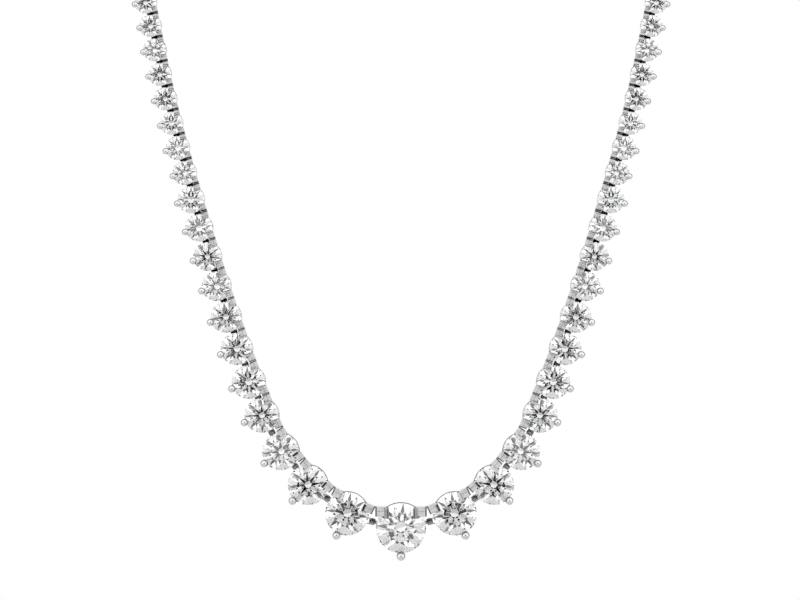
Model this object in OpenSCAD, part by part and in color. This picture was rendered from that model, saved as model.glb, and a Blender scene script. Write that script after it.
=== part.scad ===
/* [Necklace] */
// Length of the whole loop along its hinge line, clasp included
necklace_l = 458; // [420:1:500]
// Gap between two neighbouring stones on a straight run
stone_gap = 0.3; // [0.3:0.05:0.5]
// Distance from the hinge line out to a stone's middle, as a share of its diameter
hinge_share = 0.42; // [0.38:0.01:0.46]

/* [Stones] */
// Girdle diameter of the centre stone, which the other stones follow by shares
centre_d = 8; // [7.4:0.1:8.6]
// Diameter of the table, as a share of the girdle
table_share = 0.56; // [0.5:0.01:0.64]
// Height of the crown above the girdle, as a share of the girdle
crown_share = 0.155; // [0.12:0.005:0.17]
// Depth of the pavilion below the girdle, as a share of the girdle
pavilion_share = 0.43; // [0.4:0.01:0.45]
// Thickness of the girdle, as a share of its diameter
girdle_share = 0.03; // [0.02:0.005:0.04]

/* [Settings] */
// Gap between a stone and the metal round it
seat_gap = 0.14; // [0.12:0.01:0.2]
// Radius of an outer prong's bead on a stone of no size, which the bead share adds to
bead_base = 0.35; // [0.3:0.01:0.4]
// Growth of the bead's radius with the stone's diameter
bead_share = 0.05; // [0.04:0.005:0.06]
// Radius of a prong's shaft, as a share of its bead
shaft_share = 0.62; // [0.5:0.02:0.7]
// Width of the lug blocks along the inner edge, as a share of the stone
lug_share = 0.21; // [0.16:0.01:0.24]
// Slit between the lug blocks of neighbouring links
slit = 0.28; // [0.24:0.02:0.4]
// Thickness of the rim wire under the stone's inner edge
rim_t = 0.2; // [0.16:0.02:0.28]
// Width of the gallery ring's wire
gallery_w = 0.4; // [0.3:0.05:0.5]
// Height of the gallery ring's wire
gallery_h = 0.4; // [0.3:0.05:0.5]
// Depth of the basket below the girdle, as a share of the stone
basket_share = 0.52; // [0.5:0.01:0.56]

/* [Links] */
// Depth of the link pins behind the girdles
link_depth = 1.15; // [1.1:0.01:1.25]
// Lift of the link pins towards the inner edge, from the middles of the smallest stones
link_lift = 0.35; // [0.2:0.05:0.4]
// Radius of a link pin
pin_r = 0.19; // [0.17:0.01:0.21]
// Gap between the pin and its eye, and between the eye and the fork
link_gap = 0.13; // [0.12:0.01:0.14]
// Wall of the eye round its hole
eye_wall = 0.19; // [0.17:0.01:0.21]
// Thickness of the eye along the pin
eye_t = 0.44; // [0.4:0.02:0.48]
// Thickness of each of the fork's two ears
ear_t = 0.27; // [0.24:0.01:0.3]

/* [Clasp] */
// Length of the clasp between the last two link pins
clasp_l = 14; // [12:0.5:18]
// Width of the clasp's box
clasp_w = 4.4; // [4:0.1:5.5]
// Thickness of the clasp's box
clasp_t = 2.6; // [2.2:0.1:3.2]

/* [Hidden] */
$fn = 24;
// Columns of a point and of the route: the last is the first of the three of the facing direction
X = 0;
Y = 1;
Z = 2;
FACE = 3;
// Half of the hinge line, from the middle of the front to the nape, in millimetres before it is
// fitted to necklace_l, with the direction that the stones face there
ROUTE = [
    [0, -86, -119.7, 0, -1, 0],
    [4.1, -86, -119.7, 0, -1, 0],
    [10.3, -86, -116.8, 0, -1, 0],
    [15.1, -86, -112.3, 0, -1, 0],
    [18.8, -86, -107.4, 0, -1, 0],
    [21.1, -86, -101.9, 0, -1, 0],
    [23.3, -86, -96.5, 0, -1, 0],
    [26.9, -86, -86.2, 0, -1, 0],
    [30.1, -86, -76.1, 0, -1, 0],
    [32.8, -86, -67, 0, -1, 0],
    [35.9, -86, -55.6, 0, -1, 0],
    [38.3, -86, -44.6, 0, -1, 0],
    [40.1, -86, -35.5, 0, -1, 0],
    [42, -84.4, -26.5, 0.06, -0.95, 0.3],
    [44.6, -78, -18, 0.2, -0.75, 0.65],
    [47.8, -67, -12, 0.35, -0.35, 0.85],
    [50, -51, -8, 0.5, -0.05, 0.8],
    [48, -35, -5.5, 0.5, 0.25, 0.75],
    [40.5, -19.5, -3.3, 0.4, 0.5, 0.72],
    [27, -7.2, -1.4, 0.25, 0.65, 0.7],
    [10, -1, -0.2, 0.1, 0.7, 0.7],
    [0, 0, 0, 0, 0.7, 0.7]
];
// Stone diameters as shares of the centre stone: the centre, then outwards link by link. The last
// share holds for all the links further back.
STONE_SHARE = [
    1, 0.87, 0.8, 0.74, 0.69, 0.67, 0.64, 0.62, 0.59, 0.57,
    0.55, 0.54, 0.48, 0.48, 0.46, 0.46, 0.46, 0.46, 0.44, 0.44
];
// Links on each side of the centre that are nodes of their own, and those up to the last share
OWN_N = 9;
SIDE_N = len(STONE_SHARE) - 1;
// Steps of the smooth line between two points of the route
STEPS = 6;
// Sides of a brilliant: mains round the stone
MAINS = 8;
// Directions of the prongs round the stone, with the inner edge at 90 degrees
INNER_PRONG_A = 50;
OUTER_PRONG_A = -90;
// Further lift of the link pins, for each millimetre that a stone is above the smallest one
LIFT_GROWTH = 0.08;
// Overlap of pieces that are soldered together
SOLDER = 0.05;
// Distance that a cut runs past the metal it opens
CUT = 0.5;
// Radius where the lower girdle facets end, as a share of the stone's
LOW_SHARE = 0.24;
// Base ring's inner radius and wire, as shares of the stone's diameter
BASE_R = 0.11;
BASE_W = 0.1;
// Radius of the hole in a cup's foot, as a share of the base ring's
CUP_HOLE = 0.5;
// Sides of a prong's shaft on the large links, and on the small ones, whose prongs are square wire
SHAFT_SIDES = 6;
WIRE_SIDES = 4;
// Distance of a shaft's middle from the girdle, as a share of the shaft's radius
SHAFT_OUT = 0.6;
// Distance of a bead's middle beyond the girdle, for each millimetre that the stone is above the
// smallest one, and its height above the girdle as a share of the bead's radius
BEAD_OUT = 0.11;
BEAD_UP = 0.5;
// Inner edge of the lugs, start of the lugs and of the claws, and width of a claw, as shares of the
// stone's diameter
LUG_TOP = 0.44;
LUG_X = 0.29;
CLAW_X = 0.24;
CLAW_W = 0.1;
// Rise of lugs and claws above the girdle, and step of the claws from the lugs' inner edge, as
// shares of the same
LUG_RISE = 0.1;
CLAW_RISE = 0.18;
CLAW_STEP = 0.04;
// Width of the notch in an inner prong, as a share of the same
NOTCH_W = 0.8;
// Degrees that the rim wire runs into each lug, its reach beyond the girdle, and its height as a
// share of the same
RIM_LAP = 6;
RIM_OUT = 0.12;
RIM_H = 0.08;
// Step from each face of an eye down to its tongue, and height of a tongue as a share of the ears'
EYE_STEP = 0.03;
TONGUE_H = 0.8;
// Sides of the clasp's round ends
CLASP_FN = 48;
METAL = [0.78, 0.78, 0.8];
STONE = [0.93, 0.95, 0.98];

// Every sub-part by its name, and the one that is drawn

// Vector and frame helpers. A frame is [place, x, y, z].
function unit(v) = v / norm(v);
function mirrored(v) = [-v[X], v[Y], v[Z]];
function world(f, p) = f[0] + p[0] * f[1] + p[1] * f[2] + p[2] * f[3];
function frame_of(place, x, face) =
    let (ux = unit(x), uz = unit(face - (face * ux) * ux)) [place, ux, cross(uz, ux), uz];

// The hinge line: a smooth curve through the route's points
LAST = len(ROUTE) - 1;
function flip_row(r) = [-r[X], r[Y], r[Z], -r[FACE], r[FACE + 1], r[FACE + 2]];
function row(k) =
    k < 0 ? flip_row(ROUTE[-k]) : k > LAST ? flip_row(ROUTE[2 * LAST - k]) : ROUTE[k];
function curve(a, b, c, d, t) =
    b + t * (c - a + t * (2 * a - 5 * b + 4 * c - d + t * (3 * b - a - 3 * c + d))) / 2;
line = [
    for (k = [0:LAST - 1])
        for (j = [0:STEPS - 1])
            curve(row(k - 1), row(k), row(k + 1), row(k + 2), j / STEPS),
    ROUTE[LAST]
];
function spot(r) = [r[X], r[Y], r[Z]];
steps_l = [for (i = [1:len(line) - 1]) norm(spot(line[i]) - spot(line[i - 1]))];
runs = [for (i = 0, s = 0; i < len(line); s = s + (i < len(steps_l) ? steps_l[i] : 0), i = i + 1) s];
fit = necklace_l / 2 / runs[len(runs) - 1];
tables = [for (c = [X:FACE + 2]) [for (i = [0:len(line) - 1]) [runs[i] * fit, line[i][c]]]];
function along(s) = fit * [for (c = [X:Z]) lookup(s, tables[c])];
function facing(s) = [for (c = [FACE:FACE + 2]) lookup(s, tables[c])];

// Links: link 0 is the centre, 1 to SIDE_N follow the shares, and the rest fill up to the clasp
function stone_d(i) = centre_d * STONE_SHARE[min(i, SIDE_N)];
small_d = stone_d(SIDE_N);
side_ends = [
    for (i = 0, s = (stone_d(0) + stone_gap) / 2; i <= SIDE_N; i = i + 1, s = s + stone_d(i) + stone_gap) s
];
back_l = (necklace_l - clasp_l) / 2 - side_ends[SIDE_N];
back_n = floor(back_l / (small_d + stone_gap));
back_pitch = back_l / back_n;
links_n = SIDE_N + back_n;
function link_end(i) = i <= SIDE_N ? side_ends[i] : side_ends[SIDE_N] + (i - SIDE_N) * back_pitch;
function link_frame(i) =
    let (
        start = i == 0 ? mirrored(along(link_end(0))) : along(link_end(i - 1)),
        end = along(link_end(i)),
        middle_s = i == 0 ? 0 : (link_end(i) + link_end(i - 1)) / 2,
        f = frame_of((start + end) / 2, end - start, facing(middle_s))
    )
    [f[0] - hinge_share * stone_d(i) * f[2], f[1], f[2], f[3], norm(end - start)];
frames = [for (i = [0:links_n]) link_frame(i)];
clasp_start = along(link_end(links_n));
clasp_end = mirrored(clasp_start);
clasp_raw = frame_of((clasp_start + clasp_end) / 2, clasp_end - clasp_start, facing(necklace_l / 2));
clasp_frame = [
    clasp_raw[0] - hinge_share * small_d * clasp_raw[2], clasp_raw[1], clasp_raw[2], clasp_raw[3],
    norm(clasp_end - clasp_start)
];
// The place on the clasp's back that lies on the nape is the origin of the whole necklace
rest_point = world(clasp_frame, [0, 0, -link_depth - clasp_t / 2]);

// Derived sizes
pavilion_slope = pavilion_share * 2;
crown_slope = crown_share / (0.5 - table_share / 2);
eye_r = pin_r + link_gap + eye_wall;
ear_r = eye_r - SOLDER;
fork_t = eye_t + 2 * link_gap + 2 * ear_t;
neck_t = eye_t - 2 * EYE_STEP;
clasp_box_l = clasp_l - 2 * (eye_r + 2 * link_gap);
function bead_r(d) = bead_base + bead_share * d;
function bead_y(d) = -d / 2 - BEAD_OUT * (d - small_d);
function shaft_r(d) = shaft_share * bead_r(d);
function base_r(d) = BASE_R * d;
function base_w(d) = BASE_W * d;
function gallery_r(d) =
    d / 2 - (link_depth - girdle_share * d / 2) / pavilion_slope + seat_gap / sin(atan(pavilion_slope));

// The rim wire's top keeps the seat gap from the pavilion, and the lugs reach down to its middle
function rim_top(d) =
    -girdle_share * d / 2 - (rim_t - RIM_OUT) * pavilion_slope - seat_gap / cos(atan(pavilion_slope));
function lug_low(d) = rim_top(d) - RIM_H * d / 2;

// Link pins: each lies midway between the link points of its two neighbours
function pin_lift(i) = link_lift + LIFT_GROWTH * (stone_d(i) - small_d);
function frame_at(i) = i > links_n ? clasp_frame : frames[i];
function link_point(i, side) = world(frame_at(i), [side * frame_at(i)[4] / 2, pin_lift(i), -link_depth]);
function pin_frame(i) =
    let (
        x = frame_at(i)[1] + frame_at(i + 1)[1],
        z = frame_at(i)[3] + frame_at(i + 1)[3]
    )
    frame_of((link_point(i, 1) + link_point(i + 1, -1)) / 2, x, z);
// Where metal that lies beside the pin's middle leaves the gallery ring, or the clasp's round end
function root_x(i, beside) =
    let (y = pin_lift(i) + beside)
    i > links_n
        ? (clasp_box_l - clasp_w) / 2 + sqrt(pow(clasp_w / 2, 2) - pow(y, 2)) - SOLDER
        : sqrt(pow(gallery_r(stone_d(i)) + gallery_w / 2, 2) - pow(y, 2));
function root_point(i, side, beside) =
    world(frame_at(i), [side * root_x(i, beside), pin_lift(i), -link_depth]);

// Puts children drawn in a frame to their place
module put(f) {
    multmatrix([for (axis = [X:Z]) [f[1][axis], f[2][axis], f[3][axis], f[0][axis]]])
        children();
}

// A straight rod between two points
module rod(a, b, r, sides) {
    put(frame_of(a, b - a, [0, 0, 1]))
        rotate([0, 90, 0])
            rotate([0, 0, 180 / sides])
                cylinder(r = r, h = norm(b - a), $fn = sides);
}

// A flat bar in a pin's frame, square to the pin: from x = a to x = b, at y along the pin
module bar(f, a, b, y, t, h) {
    put(f)
        translate([a, y - t / 2, -h / 2])
            cube([b - a, t, h]);
}

// A cylinder centred on a frame's origin, along its pin axis
module across(f, r, t) {
    put(f)
        rotate([90, 0, 0])
            cylinder(r = r, h = t, center = true);
}

// Turns every face of a list round, so that it runs clockwise seen from outside
function clockwise(faces) = [for (f = faces) [for (k = [len(f) - 1:-1:0]) f[k]]];
// A ring of n points, from the angle a0 on
function ring_of(n, r, a0, z) =
    [for (k = [0:n - 1]) let (a = a0 + k * 360 / n) [r * cos(a), r * sin(a), z]];

// Round brilliant: table, 8 stars, 8 kites, 16 upper girdle facets, girdle, 16 lower girdle facets
// and 8 pavilion mains
module brilliant(d) {
    r = d / 2;
    n = 2 * MAINS;
    half = 180 / MAINS;
    edge = girdle_share * r;
    kite_r = r * (1 + table_share) / 2;
    low_r = r * LOW_SHARE;
    points = concat(
        ring_of(MAINS, r * table_share, 0, edge + crown_share * d),
        ring_of(MAINS, kite_r, half, edge + (r - kite_r * cos(half)) * crown_slope),
        ring_of(n, r, 0, edge),
        ring_of(n, r, 0, -edge),
        ring_of(MAINS, low_r, half, -edge - (r - low_r * cos(half)) * pavilion_slope),
        [[0, 0, -edge - r * pavilion_slope]]
    );
    kite = MAINS;
    upper = 2 * MAINS;
    lower = upper + n;
    low = lower + n;
    culet = low + MAINS;
    table = [[for (k = [0:MAINS - 1]) k]];
    crown = [for (k = [0:MAINS - 1]) let (next = (k + 1) % MAINS, last = (k + MAINS - 1) % MAINS) each [
        [next, k, kite + k],
        [k, kite + last, upper + 2 * k],
        [k, upper + 2 * k, kite + k],
        [kite + k, upper + 2 * k, upper + 2 * k + 1],
        [kite + k, upper + 2 * k + 1, upper + (2 * k + 2) % n]
    ]];
    band = [for (k = [0:n - 1]) let (next = (k + 1) % n) each [
        [upper + next, upper + k, lower + k],
        [upper + next, lower + k, lower + next]
    ]];
    pavilion = [for (k = [0:MAINS - 1]) let (last = (k + MAINS - 1) % MAINS) each [
        [culet, lower + 2 * k, low + last],
        [culet, low + k, lower + 2 * k],
        [low + k, lower + 2 * k + 1, lower + 2 * k],
        [low + k, lower + (2 * k + 2) % n, lower + 2 * k + 1]
    ]];
    polyhedron(points = points, faces = clockwise(concat(table, crown, band, pavilion)));
}

// Plainer cut for the hidden links: table, 8 crown facets, girdle and 8 pavilion facets
module plain_cut(d) {
    r = d / 2;
    edge = girdle_share * r;
    points = concat(
        ring_of(MAINS, r * table_share, 0, edge + crown_share * d),
        ring_of(MAINS, r, 0, edge),
        ring_of(MAINS, r, 0, -edge),
        [[0, 0, -edge - r * pavilion_slope]]
    );
    table = [[for (k = [0:MAINS - 1]) k]];
    walls = [for (a = [0, MAINS]) for (k = [0:MAINS - 1]) let (next = (k + 1) % MAINS)
        [a + next, a + k, a + MAINS + k, a + MAINS + next]];
    pavilion = [for (k = [0:MAINS - 1]) [3 * MAINS, 2 * MAINS + (k + 1) % MAINS, 2 * MAINS + k]];
    polyhedron(points = points, faces = clockwise(concat(table, walls, pavilion)));
}

// The notch that a jeweller files into the metal for the stone: the stone's side profile grown by
// the seat gap, straight across the given width, facing the direction a
module notch(d, a, w) {
    r = d / 2;
    edge = girdle_share * r;
    low = atan(pavilion_slope);
    high = atan(crown_slope);
    rotate([90, 0, a])
        linear_extrude(w, center = true)
            polygon([
                [0, -edge - r * pavilion_slope - seat_gap / cos(low)],
                [r + seat_gap, -edge - seat_gap * (1 / cos(low) - tan(low))],
                [r + seat_gap, edge + seat_gap * (1 / cos(high) - tan(high))],
                [0, edge + r * crown_slope + seat_gap / cos(high)]
            ]);
}

// A plain ring of rectangular wire: inner radius, wire width, height of its underside and its height
module ring(r, w, z, h) {
    rotate_extrude()
        translate([r, z])
            square([w, h]);
}

// One prong's shaft in the direction a: from the base ring to the girdle where the basket is open,
// and from the top of the cup where it is closed
module shaft(d, a, open) {
    low = open
        ? [base_r(d) + base_w(d) / 2, 0, -basket_share * d + shaft_r(d)]
        : [gallery_r(d) + gallery_w / 2, 0, -link_depth - SOLDER];
    rotate([0, 0, a])
        rod(low, [d / 2 + SHAFT_OUT * shaft_r(d), 0, 0], shaft_r(d), open ? SHAFT_SIDES : WIRE_SIDES);
}

// The outer prong ends in a round bead that laps over the girdle
module outer_prong(d, open) {
    bead = bead_r(d);
    difference() {
        union() {
            shaft(d, OUTER_PRONG_A, open);
            translate([0, bead_y(d), BEAD_UP * bead])
                sphere(r = bead);
        }
        notch(d, OUTER_PRONG_A, 2 * (bead + CUT));
    }
}

// An inner prong rises into a flat lug block that reaches to the slit, with a claw over the crown
module inner_prong(d, l, open, claws) {
    lug_w = lug_share * d;
    lug_y = LUG_TOP * d - lug_w;
    low = lug_low(d);
    difference() {
        union() {
            shaft(d, INNER_PRONG_A, open);
            if (claws)
                translate([CLAW_X * d, lug_y - CLAW_STEP * d, low])
                    cube([CLAW_W * d, lug_w, CLAW_RISE * d - low]);
            translate([LUG_X * d, lug_y, low])
                cube([(l - slit) / 2 - LUG_X * d, lug_w, LUG_RISE * d - low]);
        }
        notch(d, INNER_PRONG_A, NOTCH_W * d);
    }
}

// The rim wire between the two inner prongs
module rim(d) {
    start = INNER_PRONG_A - RIM_LAP;
    rotate([0, 0, start])
        rotate_extrude(angle = 180 - 2 * start)
            translate([d / 2 + RIM_OUT - rim_t, rim_top(d) - RIM_H * d])
                square([rim_t, RIM_H * d]);
}

// The lower basket of a large link: a base ring and a gallery ring that the prongs pass
module rings(d) {
    ring(base_r(d), base_w(d), -basket_share * d, base_w(d));
    ring(gallery_r(d), gallery_w, -link_depth - gallery_h, gallery_h);
}

// The lower basket of a small link: a cup that the prongs stand on
module cup(d) {
    r = gallery_r(d);
    rotate_extrude()
        polygon([
            [r, -link_depth],
            [r + gallery_w, -link_depth],
            [base_r(d) + base_w(d), -basket_share * d],
            [base_r(d) * CUP_HOLE, -basket_share * d]
        ]);
}

// The basket in the link's own frame: x along the chain, y to the inner edge, z out of the face.
// Only a shown link has claws and a rim wire.
module basket(d, l, open, shown) {
    if (open)
        rings(d);
    else
        cup(d);
    outer_prong(d, open);
    inner_prong(d, l, open, shown);
    mirror([1, 0, 0])
        inner_prong(d, l, open, shown);
    if (shown)
        rim(d);
}

// Metal that reaches from a link's gallery ring to a pin, cut back round the link's own stone
module filed(i, side) {
    difference() {
        children();
        if (i <= links_n)
            put(frames[i])
                notch(stone_d(i), 90 - side * (90 - atan2(pin_lift(i), root_x(i, 0))), fork_t + 2 * CUT);
    }
}

// The tongue on a link's outer side, with an eye round the next link's pin
module tongue(i) {
    f = pin_frame(i);
    difference() {
        union() {
            filed(i, 1)
                bar(f, -norm(f[0] - root_point(i, 1, 0)), 0, 0, neck_t, 2 * ear_r * TONGUE_H);
            across(f, eye_r, eye_t);
        }
        across(f, pin_r + link_gap, eye_t + 2 * CUT);
    }
}

// The fork on a link's inner side, which holds the pin that runs through the last link's eye
module fork(i) {
    f = pin_frame(i - 1);
    reach = norm(f[0] - root_point(i, -1, i > links_n ? fork_t / 2 : fork_t / 2 - ear_t));
    filed(i, -1)
        for (side = [-1, 1])
            bar(f, -ear_r, reach, side * (fork_t - ear_t) / 2, ear_t, 2 * ear_r);
    across(f, pin_r, fork_t - ear_t);
}

// One link's metal, soldered into one piece
module setting(i) {
    put(frames[i])
        basket(stone_d(i), frames[i][4], i <= OWN_N, i <= SIDE_N);
    tongue(i);
    if (i == 0)
        mirror([1, 0, 0])
            tongue(0);
    else
        fork(i);
}

// One link's stone
module gem(i) {
    put(frames[i])
        if (i <= SIDE_N)
            brilliant(stone_d(i));
        else
            plain_cut(stone_d(i));
}

// The clasp: a plain box with round ends, and a fork at each end
module clasp_body() {
    straight = clasp_box_l - clasp_w;
    put(clasp_frame)
        translate([0, 0, -link_depth]) {
            cube([straight, clasp_w, clasp_t], center = true);
            for (side = [-1, 1])
                translate([side * straight / 2, 0, 0])
                    cylinder(d = clasp_w, h = clasp_t, center = true, $fn = CLASP_FN);
        }
    fork(links_n + 1);
    mirror([1, 0, 0])
        fork(links_n + 1);
}

// Brings the rest point to the origin
module home() {
    translate(-rest_point)
        children();
}

// The pieces of one side, on the right as drawn and mirrored for the left
module of_side(side) {
    home()
        mirror([side == "left" ? 1 : 0, 0, 0])
            children();
}
module settings(side, first, last) {
    color(METAL)
        of_side(side)
            for (i = [first:last])
                setting(i);
}
module stones(side, first, last) {
    color(STONE)
        of_side(side)
            for (i = [first:last])
                gem(i);
}
module clasp() {
    color(METAL)
        home()
            clasp_body();
}

settings("right", 0, 0);  // centre_setting
stones("right", 0, 0);  // centre_stone
for (side = ["right", "left"]) {
    for (i = [1:OWN_N]) {
        settings(side, i, i);
        stones(side, i, i);
    }
    settings(side, OWN_N + 1, SIDE_N);
    stones(side, OWN_N + 1, SIDE_N);
    settings(side, SIDE_N + 1, links_n);
    stones(side, SIDE_N + 1, links_n);
}
clasp();
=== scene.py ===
"""Looks of a graduated riviere necklace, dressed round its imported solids.

Sizes in the classes are millimetres, as a goldsmith measures them, and every mesh is put down in
metres. A link is drawn in its own frame: x along the chain, y towards the inner edge of the
necklace and z out of the stone's face.
"""
import logging
import math
from dataclasses import dataclass, field, replace
from enum import Enum
from typing import Callable

import bpy
import numpy as np
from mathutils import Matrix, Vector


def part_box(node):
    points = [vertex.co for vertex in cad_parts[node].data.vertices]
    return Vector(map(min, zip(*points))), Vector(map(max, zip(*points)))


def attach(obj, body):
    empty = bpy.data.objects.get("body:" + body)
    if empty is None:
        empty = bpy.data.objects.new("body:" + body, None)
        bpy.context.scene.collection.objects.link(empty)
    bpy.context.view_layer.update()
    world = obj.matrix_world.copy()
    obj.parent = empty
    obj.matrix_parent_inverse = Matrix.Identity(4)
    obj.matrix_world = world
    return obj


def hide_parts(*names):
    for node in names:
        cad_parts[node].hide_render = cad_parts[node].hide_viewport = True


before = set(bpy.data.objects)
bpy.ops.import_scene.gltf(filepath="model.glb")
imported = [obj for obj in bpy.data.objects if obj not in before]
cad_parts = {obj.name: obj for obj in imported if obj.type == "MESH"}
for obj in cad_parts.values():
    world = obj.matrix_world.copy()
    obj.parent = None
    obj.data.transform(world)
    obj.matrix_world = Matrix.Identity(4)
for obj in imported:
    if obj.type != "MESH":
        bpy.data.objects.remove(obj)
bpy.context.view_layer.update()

Array = np.ndarray
Change = Callable[[Array], Array]
Triple = tuple[float, float, float]
Span = tuple[float, float]
MM = 0.001
LOG = logging.getLogger("riviere")
AXIS_X, AXIS_Y, AXIS_Z = np.eye(3)
# Signs that mirror a place in x
FLIP_X = np.array([-1, 1, 1])
# Share of a point's largest face that another one needs to count for its normal
LARGE_FACE = 0.3
# Smallest length that is divided by
TINY = 1e-12
# Factor that lets a limit take in the points that lie on it
TOUCH = 1.01
# Colour sockets of a mix node
MIX_FACTOR, MIX_A, MIX_B, MIX_RESULT = 0, 6, 7, 2
# Half of the hinge line, from the middle of the front to the nape, before it is fitted to the
# loop's length: a place, then the direction that the stones face there
ROUTE = np.array([
    [0, -86, -119.7, 0, -1, 0], [4.1, -86, -119.7, 0, -1, 0], [10.3, -86, -116.8, 0, -1, 0],
    [15.1, -86, -112.3, 0, -1, 0], [18.8, -86, -107.4, 0, -1, 0], [21.1, -86, -101.9, 0, -1, 0],
    [23.3, -86, -96.5, 0, -1, 0], [26.9, -86, -86.2, 0, -1, 0], [30.1, -86, -76.1, 0, -1, 0],
    [32.8, -86, -67, 0, -1, 0], [35.9, -86, -55.6, 0, -1, 0], [38.3, -86, -44.6, 0, -1, 0],
    [40.1, -86, -35.5, 0, -1, 0], [42, -84.4, -26.5, 0.06, -0.95, 0.3],
    [44.6, -78, -18, 0.2, -0.75, 0.65], [47.8, -67, -12, 0.35, -0.35, 0.85],
    [50, -51, -8, 0.5, -0.05, 0.8], [48, -35, -5.5, 0.5, 0.25, 0.75],
    [40.5, -19.5, -3.3, 0.4, 0.5, 0.72], [27, -7.2, -1.4, 0.25, 0.65, 0.7],
    [10, -1, -0.2, 0.1, 0.7, 0.7], [0, 0, 0, 0, 0.7, 0.7],
])
# Stone diameters as shares of the centre stone, outwards link by link; the last holds further back
STONE_SHARE = np.array([1, 0.87, 0.8, 0.74, 0.69, 0.67, 0.64, 0.62, 0.59, 0.57,
                        0.55, 0.54, 0.48, 0.48, 0.46, 0.46, 0.46, 0.46, 0.44, 0.44])


class Slot(Enum):
    """The record's material slots."""

    METAL = "white_gold"
    STONE = "diamond"


class Side(Enum):
    """The two halves of the necklace, with the sign of their x."""

    RIGHT = 1
    LEFT = -1


class Grade(Enum):
    """How finely a setting is made: its prongs' sides, its rings' sides and its corners' steps."""

    LARGE = (12, 40, 2)
    SMALL = (10, 28, 2)
    HIDDEN = (7, 18, 1)

    def __init__(self, sides: int, ring_sides: int, steps: int) -> None:
        """Names the three counts."""
        self.sides, self.ring_sides, self.steps = sides, ring_sides, steps


def unit(v: Array) -> Array:
    """Vectors along the last axis brought to length one."""
    return v / np.linalg.norm(v, axis=-1, keepdims=True)


def rise(x: Array | float, low: float, high: float) -> Array:
    """How far x has risen from low to high: 0 up to low, 1 from high on, and even between."""
    return np.clip((x - low) / (high - low), 0, 1)


def put(name: str, data: bpy.types.ID) -> bpy.types.Object:
    """A new object at the origin of the scene.

    Args:
        name: Its name.
        data: Its mesh or camera.

    Returns:
        The object.
    """
    made = bpy.data.objects.new(name, data)
    bpy.context.scene.collection.objects.link(made)
    return made


def add(tree: bpy.types.NodeTree, kind: str, values: dict[str | int, object] | None = None,
        **settings: object) -> bpy.types.Node:
    """A new node in a tree.

    Args:
        tree: The node tree.
        kind: The node's type.
        values: Values of its inputs by name or place.
        settings: The node's own settings.

    Returns:
        The node.
    """
    node = tree.nodes.new(kind)
    for name, value in settings.items():
        setattr(node, name, value)
    for socket, value in (values or {}).items():
        node.inputs[socket].default_value = value
    return node


def join(tree: bpy.types.NodeTree,
         *rows: tuple[bpy.types.Node, str | int, bpy.types.Node, str | int]) -> None:
    """Links nodes, a row for each link.

    Args:
        tree: The node tree.
        rows: A node, its output, another node and its input.
    """
    for source, output, target, socket in rows:
        tree.links.new(source.outputs[output], target.inputs[socket])


@dataclass(frozen=True)
class Frame:
    """A place with three axes of length one, and the chord that a link spans between its pins."""

    place: Array
    x: Array
    y: Array
    z: Array
    chord: float = 0.0

    @classmethod
    def of(cls, place: Array, x: Array, face: Array, chord: float = 0.0) -> "Frame":
        """The frame at a place, with x along one direction and z as near another as it can be.

        Args:
            place: Origin of the frame.
            x: Direction of the x axis.
            face: Direction that the z axis leans to.
            chord: Distance between the link's pins.

        Returns:
            The frame.
        """
        ux = unit(x)
        uz = unit(face - (face @ ux) * ux)
        return cls(place, ux, np.cross(uz, ux), uz, chord)

    def world(self, points: Array) -> Array:
        """Points of the frame, in the necklace's coordinates."""
        return self.place + points @ np.stack([self.x, self.y, self.z])

    def inside(self, points: Array) -> Array:
        """Points of the necklace, in the frame's coordinates."""
        return (points - self.place) @ np.stack([self.x, self.y, self.z]).T

    def moved(self, shift: Array) -> "Frame":
        """The same frame at a shifted place."""
        return replace(self, place=self.place + shift)


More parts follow.
